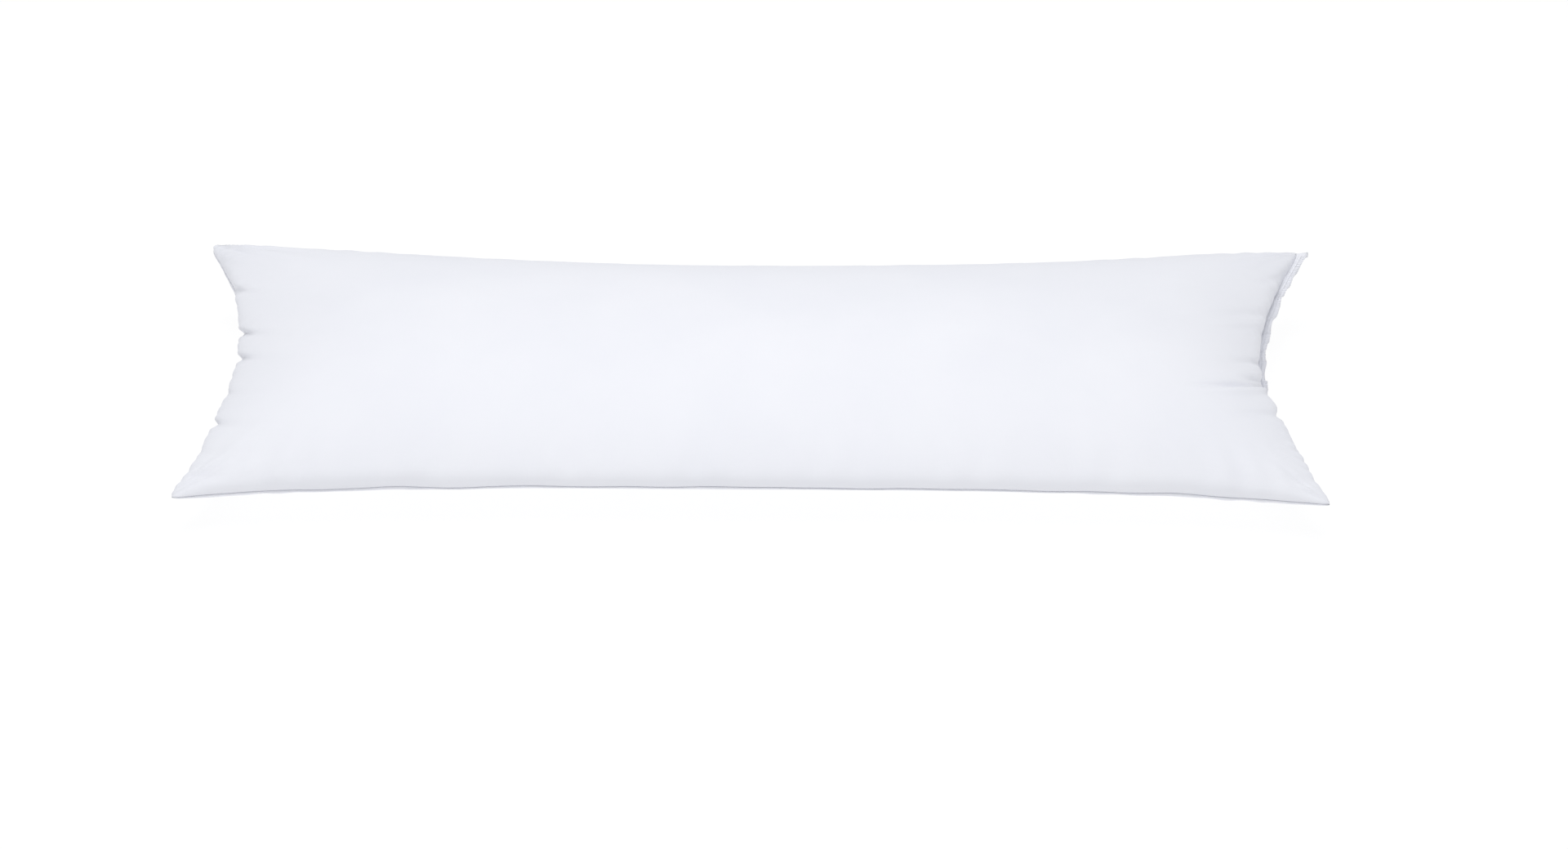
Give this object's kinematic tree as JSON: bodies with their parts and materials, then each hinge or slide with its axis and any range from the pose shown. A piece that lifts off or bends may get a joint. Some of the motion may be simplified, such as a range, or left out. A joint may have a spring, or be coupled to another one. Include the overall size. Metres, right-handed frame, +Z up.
{
  "type": "bed pillow",
  "caption": "Long rectangular stuffed bed pillow with pointed corners, turned seams and an overlocked closing seam at one end.",
  "frame": {"origin": "centre of the bottom of the bounding box, on the surface that the pillow rests on", "axes": "+X along the pillow's length, towards the closing seam; +Y across it, away from the front; +Z up"},
  "size_m": [1.3554, 0.4981, 0.155],
  "materials": {
    "ticking": "plain fine weave, matt white, faintly cool",
    "polyester_fibre": "loose matt white fibre",
    "sewing_thread": "spun polyester thread, matt white",
    "label_satin": "blank white woven satin"
  },
  "bodies": {
    "root": {"top_panel": "ticking", "bottom_panel": "ticking", "fibre_fill": "polyester_fibre", "near_seam_thread": "sewing_thread", "far_seam_thread": "sewing_thread", "left_seam_thread": "sewing_thread", "right_seam_thread": "sewing_thread", "closing_seam_thread": "sewing_thread", "closing_overlock": "sewing_thread", "care_label": "label_satin"}
  },
  "joints": []
}
